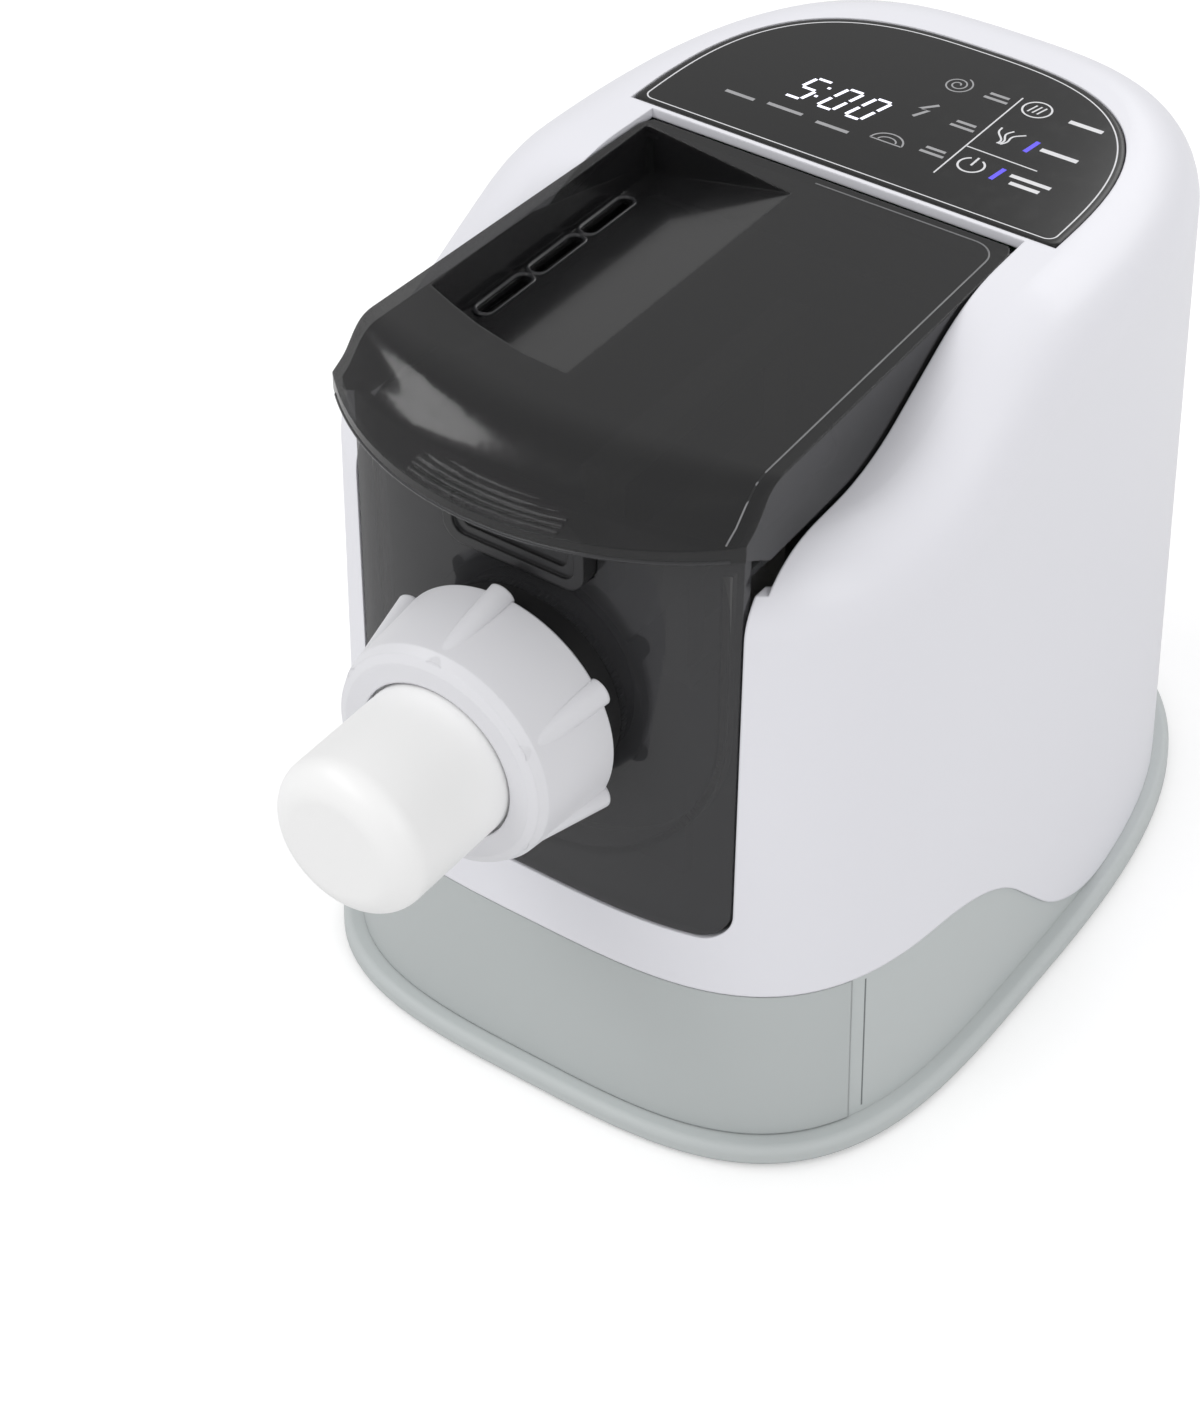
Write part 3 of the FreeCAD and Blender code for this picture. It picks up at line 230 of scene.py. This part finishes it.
class Print:
    """Flat printed marks, gathered into one mesh: ribbons of constant width along paths."""

    def __init__(self, height):
        self.height, self.points, self.faces = height, [], []

    def ribbon(self, path, width, closed=False):
        """Each path point moved half a width to both sides along the local normal; quads between."""
        p = np.asarray(path, float)
        if closed:
            step = np.roll(p, -1, 0) - np.roll(p, 1, 0)
        else:
            step = np.gradient(p, axis=0)
        step /= np.linalg.norm(step, axis=1)[:, None] + 1e-9
        side = np.stack([-step[:, 1], step[:, 0]], 1) * width / 2
        both = np.stack([p + side, p - side], 1).reshape(-1, 2)
        base = sum(len(q) for q in self.points)
        self.points.append(both)
        n = len(p)
        k = np.arange(n if closed else n - 1)
        nxt = (k + 1) % n
        self.faces.append(base + np.stack([2 * k + 1, 2 * nxt + 1, 2 * nxt, 2 * k], 1))

    def ring(self, x, y, radius, width, start=0.0, sweep=2 * math.pi):
        """Part of a circle, as a ribbon."""
        a = start + np.linspace(0, sweep, 40)
        self.ribbon(np.stack([x + radius * np.cos(a), y + radius * np.sin(a)], 1), width)

    def bars(self, x, y, lengths, width, gap):
        """Plain bars under each other, in place of words."""
        for k, long in enumerate(lengths):
            yk = y - k * gap
            self.ribbon([(x - long / 2, yk), (x + long / 2, yk)], width)

    def make(self, name, finish, body):
        flat = np.concatenate(self.points)
        points = np.column_stack([flat, np.full(len(flat), self.height)])
        return piece(name, points, np.concatenate(self.faces), finish, body, False)


def panel_outline(grow, count=96):
    """Half of a squared ellipse over a straight front edge with small round corners."""
    half, front, apex, power = 71.2 + grow, 52.6 - grow, 136.3 + grow, 2.88
    t = np.linspace(0, math.pi, count)
    c, s = np.cos(t), np.sin(t)
    x = half * np.sign(c) * np.abs(c) ** (2 / power)
    y = front + (apex - front) * np.abs(s) ** (2 / power)
    corner = 3.0
    keep = y > front + corner
    a = np.linspace(math.pi, 1.5 * math.pi, 9)
    left = np.stack([-half + corner + corner * np.cos(a), front + corner + corner * np.sin(a)], 1)
    right = np.stack([half - corner - corner * np.cos(a), front + corner + corner * np.sin(a)], 1)[::-1]
    return np.concatenate([np.stack([x, y], 1)[keep], left, right])


def plate_of_rings(rings, heights):
    """Closed plate: rings of equal length joined by quads, first and last ring filled with one face."""
    n = len(rings[0])
    points = np.concatenate([np.column_stack([r, np.full(n, h)]) for r, h in zip(rings, heights)])
    faces = [list(f) for f in grid_faces(len(rings), n, wrap_columns=True)]
    return points, faces + [list(range(n))[::-1], list(range((len(rings) - 1) * n, len(rings) * n))]


# Touch panel: glass plate with a rounded edge, top face just under the CAD plate's
rings = [panel_outline(g) for g in (-0.6, 0.0, 0.0, -0.12, -0.4, -1.2)]
points, faces = plate_of_rings(rings, [238.62, 238.8, 240.3, 240.62, 240.76, 240.8])
glass = piece("touch_panel", points, faces, finishes["panel_glass"], "base")
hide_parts("control_glass")

ink = Paint("print_white", Roughness=0.4, Base_Color=rgb(225, 225, 228))
ink.feed(Base_Color=ink.mix(ink.noise(300.0), rgb(214, 214, 218), rgb(232, 232, 234)))
faint = Paint("print_grey", Roughness=0.4)
faint.feed(Base_Color=faint.mix(faint.noise(300.0), rgb(150, 150, 153), rgb(166, 166, 168)))
lit = Paint("digit_light", Roughness=0.4, Base_Color=rgb(240, 240, 255), Emission_Strength=0.9)
lit.feed(Emission_Color=lit.mix(lit.noise(200.0), rgb(226, 226, 250), rgb(246, 246, 255)))
blue = Paint("bar_light", Roughness=0.4, Base_Color=rgb(86, 74, 214), Emission_Strength=0.45)
blue.feed(Emission_Color=blue.mix(blue.noise(200.0), rgb(84, 70, 214), rgb(100, 88, 232)))

TOP = 240.84
white = Print(TOP)
white.ribbon(panel_outline(-2.4), 0.45, True)
white.ribbon([(23.4, 67.0), (23.5, 117.6)], 0.5)
white.ribbon([(23.6, 84.9), (47.2, 84.4)], 0.5)
white.ring(30.3, 114.0, 4.4, 0.6)
for dx in (-1.6, 0.0, 1.6):
    white.ribbon([(30.3 + dx - 0.5, 111.8), (30.3 + dx + 0.5, 116.2)], 0.55)
white.ring(30.1, 76.6, 3.9, 0.65, math.radians(118), math.radians(304))
white.ribbon([(30.1, 76.4), (30.1, 81.2)], 0.7)
t = np.linspace(0, 1, 14)
for lean in (-1, 0, 1):
    strand = 30.5 + lean * (0.6 + 3.4 * t ** 1.6) + 0.7 * np.sin(7 * t)
    white.ribbon(np.stack([strand, 91.2 + 8.4 * t], 1), 0.6)
white.bars(46.8, 113.6, [11.0], 1.9, 3)
white.bars(48.2, 95.3, [12.0], 1.9, 3)
white.bars(48.6, 78.2, [13.0, 9.5], 1.7, 3.6)
white.make("panel_marks", ink, "base")

grey = Print(TOP)
for x, y, long in ((-45.7, 71.5, 10.0), (-30.5, 72.4, 12.0), (-13.7, 71.6, 11.0)):
    grey.bars(x, y, [long], 1.5, 3)
for x, y in ((17.4, 114.6), (17.4, 95.4), (17.6, 78.0)):
    grey.bars(x, y, [6.4, 7.8], 1.25, 2.6)
a = np.linspace(0, 4.4 * math.pi, 70)
r = 0.7 + 3.9 * a / a[-1]
grey.ribbon(np.stack([3.9 + r * np.cos(a), 113.3 + 1.05 * r * np.sin(a)], 1), 0.5)
grey.ribbon([(5.6, 99.8), (1.6, 95.2), (4.6, 95.6), (2.2, 90.4)], 1.2)
a = np.linspace(0, math.pi, 24)
grey.ribbon(np.stack([3.4 + 5.2 * np.cos(a), 73.4 + 4.8 * np.sin(a)], 1), 0.55)
grey.ribbon([(-1.8, 73.4), (8.6, 73.4)], 0.55)
grey.ribbon(np.stack([3.4 + 2.9 * np.cos(a), 73.9 + 2.2 * np.sin(a)], 1), 0.5)
grey.make("panel_small_marks", faint, "base")

digits = Print(TOP)
STROKES = {"top": ((0, 2), (1, 2)), "high_left": ((0, 2), (0, 1)), "high_right": ((1, 2), (1, 1)),
           "middle": ((0, 1), (1, 1)), "low_left": ((0, 1), (0, 0)), "low_right": ((1, 1), (1, 0)),
           "bottom": ((0, 0), (1, 0))}
SHOWN = {5: ("top", "high_left", "middle", "low_right", "bottom"),
         0: ("top", "high_left", "high_right", "low_left", "low_right", "bottom")}


def digit(number, x, y, wide=5.2, tall=6.6, lean=1.6):
    """One leaning seven-stroke digit whose lower left corner is at x, y."""
    for stroke in SHOWN[number]:
        ends = np.array(STROKES[stroke], float)
        run = ends[1] - ends[0]
        inset = ends + np.array([run, -run]) * 0.09
        digits.ribbon([(x + wide * u + lean * v, y + tall * v) for u, v in inset], 1.15)


for number, x in ((5, -35.2), (0, -24.2), (0, -14.6)):
    digit(number, x, 79.6)
digits.ribbon([(-27.0, 83.2), (-27.0, 84.3)], 1.0)
digits.ribbon([(-26.2, 89.2), (-26.2, 90.3)], 1.0)
digits.make("panel_digits", lit, "base")

bars = Print(TOP)
bars.ribbon([(38.9, 91.6), (39.7, 98.6)], 1.5)
bars.ribbon([(38.3, 73.2), (39.1, 80.2)], 1.5)
bars.make("panel_bars", blue, "base")


# ---------- trim of the lid ----------
class Probe:
    """Rays onto the mesh of one CAD node; places in millimetres."""

    def __init__(self, node):
        mesh = nodes[node].data
        self.tree = BVHTree.FromPolygons([v.co for v in mesh.vertices],
                                         [tuple(p.vertices) for p in mesh.polygons])

    def height(self, x, y):
        """Z where a ray from above meets the node."""
        hit = self.tree.ray_cast((x * MM, y * MM, 0.25), (0, 0, -1))[0]
        return hit[2] / MM if hit else None

    def side(self, sign, y, z):
        """X where a ray from outside, along X, meets the node."""
        hit = self.tree.ray_cast((sign * 0.3, y * MM, z * MM), (-sign, 0, 0))[0]
        return hit[0] / MM if hit else None


def tube(path, radius, closed=True, around=8, squash=1.0):
    """Round bead: at each path point a circle of the radius across the way, flattened in Z by squash."""
    p = np.asarray(path, float)
    step = np.roll(p, -1, 0) - np.roll(p, 1, 0) if closed else np.gradient(p, axis=0)
    step /= np.linalg.norm(step, axis=1)[:, None]
    side = np.cross(step, (0, 0, 1.0))
    side /= np.linalg.norm(side, axis=1)[:, None]
    rise = np.cross(side, step)
    a = 2 * math.pi * np.arange(around) / around
    rings = p[:, None] + radius * (np.cos(a)[None, :, None] * side[:, None]
                                   + squash * np.sin(a)[None, :, None] * rise[:, None])
    faces = grid_faces(len(p), around, closed, True)[:, ::-1]
    return rings.reshape(-1, 3), [list(f) for f in faces]


lid_probe = Probe("lid")
trim = moulded("lid_trim", rgb(46, 46, 48), 0.16, 700.0, 0.00001)
line = Paint("lid_line", Roughness=0.3)
line.feed(Base_Color=line.mix(line.noise(120.0), rgb(96, 96, 98), rgb(128, 128, 130)))

# Raised rims round the three slots: each is a flattened bead along a stadium just outside its slot
SLOT_X, SLOT_Y, SLOT_PITCH = -53.0, -10.5, 24.7
RIM_ROUND, RIM_STRAIGHT, RIM_HIGH, RIM_BEAD = 3.15, 8.6, 226.1, 0.85
rim_points, rim_faces = [], []
for k in (-1, 0, 1):
    a = np.linspace(-math.pi / 2, math.pi / 2, 12)
    end = np.stack([RIM_ROUND * np.sin(a), RIM_STRAIGHT + RIM_ROUND * np.cos(a)], 1)
    path = np.concatenate([end, -end]) + (SLOT_X, SLOT_Y + SLOT_PITCH * k)
    points, faces = tube([(x, y, RIM_HIGH) for x, y in path[::-1]], RIM_BEAD, squash=0.7)
    base = sum(len(q) for q in rim_points)
    rim_points.append(points)
    rim_faces += [[i + base for i in f] for f in faces]
piece("slot_rims", np.concatenate(rim_points), rim_faces, trim, "lid")

# Fine line 3 mm inside the top's rear and right edges, laid onto the lid down to the lip:
# straight along the rear, a quarter circle round the corner, then straight to the front
BEND_X, BEND_Y, BEND_ROUND = 50.6, 37.0, 7.6
LINE_START, LINE_RUN, LINE_SPREAD = -2, 139.0, 4.6
LIP_LOW = 224
t = np.linspace(0, 1, 30)
a = np.linspace(math.pi / 2, 0, 10)
rear = np.stack([LINE_START + (BEND_X - LINE_START) * t, np.full(30, BEND_Y + BEND_ROUND)], 1)
bend = np.stack([BEND_X + BEND_ROUND * np.cos(a), BEND_Y + BEND_ROUND * np.sin(a)], 1)
flank = np.stack([BEND_X + BEND_ROUND + LINE_SPREAD * t, BEND_Y - LINE_RUN * t], 1)
spots = [(x, y, lid_probe.height(x, y)) for x, y in np.concatenate([rear, bend[1:], flank[1:]])]
on_lid = [(x, y, z + 0.02) for x, y, z in spots if z and z > LIP_LOW]
points, faces = tube(on_lid, 0.28, closed=False, squash=0.35)
piece("lid_border", points, faces, line, "lid")

# Rounded bead along the lip's lower edge: an arc of angle a about (0, TIP_Y)
TIP_Y, TIP_ROUND, BEAD_HIGH = -24, 96.6, 223.3
a = np.linspace(-0.72, 0.72, 60)
path = np.stack([TIP_ROUND * np.sin(a), TIP_Y - TIP_ROUND * np.cos(a), np.full(60, BEAD_HIGH)], 1)
points, faces = tube(path, 0.75, closed=False)
piece("lip_bead", points, faces, trim, "lid")


# ---------- painted shade of the groove behind the drawer's side seam ---
# A thin strip just proud of the tray, coloured darker grey as painted shade where the groove lies
shade = Paint("groove_shade", Roughness=0.7)
shade.feed(Base_Color=shade.mix(shade.noise(200.0), rgb(112, 116, 117), rgb(126, 130, 131)))
tray_probe = Probe("base_tray")
GROOVE_FRONT, GROOVE_BACK, GROOVE_LOW, GROOVE_HIGH = -62.4, -61.9, 10, 62
PROUD = 0.03
points, faces = [], []
for sign in (-1, 1):
    for z in np.linspace(GROOVE_LOW, GROOVE_HIGH, 20):
        pair = [tray_probe.side(sign, y, z) for y in (GROOVE_FRONT, GROOVE_BACK)]
        if None in pair:
            continue
        n = len(points)
        points += [(x + PROUD * sign, y, z) for x, y in zip(pair, (GROOVE_FRONT, GROOVE_BACK))]
        if z > GROOVE_LOW:
            faces.append([n - 2, n - 1, n + 1, n] if sign > 0 else [n, n + 1, n - 1, n - 2])
piece("seam_groove_shade", points, faces, shade, "base", False)


# ---------- floor, light, camera ----------
def area(name, place, aim, size, power):
    """Rectangular lamp at a place in metres, turned to its aim."""
    lamp = bpy.data.lights.new(name, "AREA")
    lamp.shape = "RECTANGLE"
    lamp.size, lamp.size_y = size
    lamp.energy = power
    obj = bpy.data.objects.new(name, lamp)
    place, aim = np.array(place, float), np.array(aim, float)
    back = (place - aim) / np.linalg.norm(place - aim)
    side = np.cross((0, 0, 1.0), back)
    side /= np.linalg.norm(side)
    rise = np.cross(back, side)
    rows = np.column_stack([side, rise, back, place])
    obj.matrix_world = Matrix(rows.tolist() + [[0, 0, 0, 1]])
    bpy.context.scene.collection.objects.link(obj)


FLOOR_REACH = 6
corners = [(x * FLOOR_REACH, y * FLOOR_REACH, 0) for x, y in ((-1, -1), (1, -1), (1, 1), (-1, 1))]
floor_mesh = bpy.data.meshes.new("floor")
floor_mesh.from_pydata(corners, [], [(0, 1, 2, 3)])
floor = bpy.data.objects.new("floor", floor_mesh)
bpy.context.scene.collection.objects.link(floor)
ground = Paint("pale_floor", Roughness=0.9, Base_Color=(0.82, 0.82, 0.82, 1.0), Specular_IOR_Level=0.1)
rays = ground.node("ShaderNodeLightPath")
seen = Value(ground, rays.outputs["Is Camera Ray"])
ground.feed(Emission_Color=ground.mix(seen, (0, 0, 0, 1), (1, 1, 1, 1)))
ground.shader.inputs["Emission Strength"].default_value = 0.3
floor.data.materials.append(ground.material)

world = bpy.data.worlds.new("studio")
bpy.context.scene.world = world
world.use_nodes = True
world.node_tree.nodes["Background"].inputs["Color"].default_value = (1, 1, 1, 1)
world.node_tree.nodes["Background"].inputs["Strength"].default_value = 0.62
area("key_light", (-1.1, -1.3, 2.1), (0, 0, 0.12), (2.8, 0.7), 26)
area("side_light", (1.9, -0.6, 1.3), (0, 0, 0.12), (1.2, 1.6), 9)
area("back_light", (0.2, 2.0, 1.6), (0, 0, 0.15), (2.0, 1.0), 13)

# Camera fitted to the photograph: its axes, its roll and its place
right = np.array([0.8114, 0.5844, 0.0])
above = np.array([-0.3792, 0.5264, 0.7609])
behind = np.array([0.4447, -0.6175, 0.6488])
roll = math.radians(-0.45)
camera_data = bpy.data.cameras.new("camera")
camera = bpy.data.objects.new("camera", camera_data)
place = np.array([0.4268, -0.6575, 0.7455])
columns = [right * math.cos(roll) + above * math.sin(roll), above * math.cos(roll) - right * math.sin(roll),
           behind, place]
camera.matrix_world = Matrix(np.column_stack(columns).tolist() + [[0, 0, 0, 1]])
camera_data.sensor_width = 36.0
camera_data.lens = 85.8
camera_data.clip_start = 0.01
bpy.context.scene.collection.objects.link(camera)
bpy.context.scene.camera = camera
bpy.context.scene.view_settings.view_transform = "Standard"
